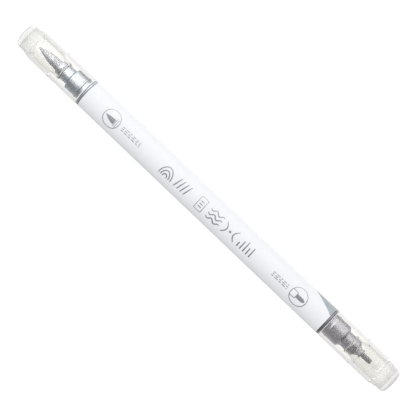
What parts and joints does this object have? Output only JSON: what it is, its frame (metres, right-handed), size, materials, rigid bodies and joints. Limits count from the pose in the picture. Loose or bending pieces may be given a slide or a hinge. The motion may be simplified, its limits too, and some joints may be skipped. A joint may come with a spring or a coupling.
{
  "type": "double-ended lettering marker",
  "caption": "Slim round marker with a brush tip at one end and a fine tip at the other, each under a clear pull-off cap, on a white printed barrel.",
  "frame": {"origin": "middle of the capped marker, on its axis", "axes": "+X along the barrel towards the fine tip, -X towards the brush tip; +Z is the side that carries the print; +Y is a quarter turn from it, on the side of the bare silver flash"},
  "size_m": [0.155, 0.0096, 0.0096],
  "materials": {
    "silver_plastic": "satin silver-grey plastic",
    "silver_plating": "bright metallised plastic",
    "white_film": "glossy printed film",
    "holder_plastic": "silver-grey plastic",
    "brush_fibre": "ink-stained elastic fibre",
    "hard_fibre": "ink-stained hard fibre",
    "ink_fibre": "ink-soaked polyester fibre",
    "wrap_plastic": "thin wrapping film",
    "clear_plastic": "clear polished plastic"
  },
  "bodies": {
    "barrel": {"barrel_tube": "silver_plastic", "printed_film": "white_film", "brush_collar": "silver_plating", "fine_collar": "silver_plating", "brush_nose": "silver_plating", "fine_nose": "silver_plating", "brush_ferrule": "holder_plastic", "fine_nib_holder": "holder_plastic", "brush_nib": "brush_fibre", "fine_nib": "hard_fibre", "reservoir_fibre": "ink_fibre", "reservoir_wrap": "wrap_plastic"},
    "brush_cap": {"brush_cap_shell": "clear_plastic", "brush_cap_liner": "clear_plastic"},
    "fine_cap": {"fine_cap_shell": "clear_plastic", "fine_cap_liner": "clear_plastic"}
  },
  "joints": [
    {"name": "brush_cap_pull", "type": "slide", "parent": "barrel", "child": "brush_cap", "axis": [-1, 0, 0], "range_m": [0, 0.03]},
    {"name": "fine_cap_pull", "type": "slide", "parent": "barrel", "child": "fine_cap", "axis": [1, 0, 0], "range_m": [0, 0.03]}
  ]
}
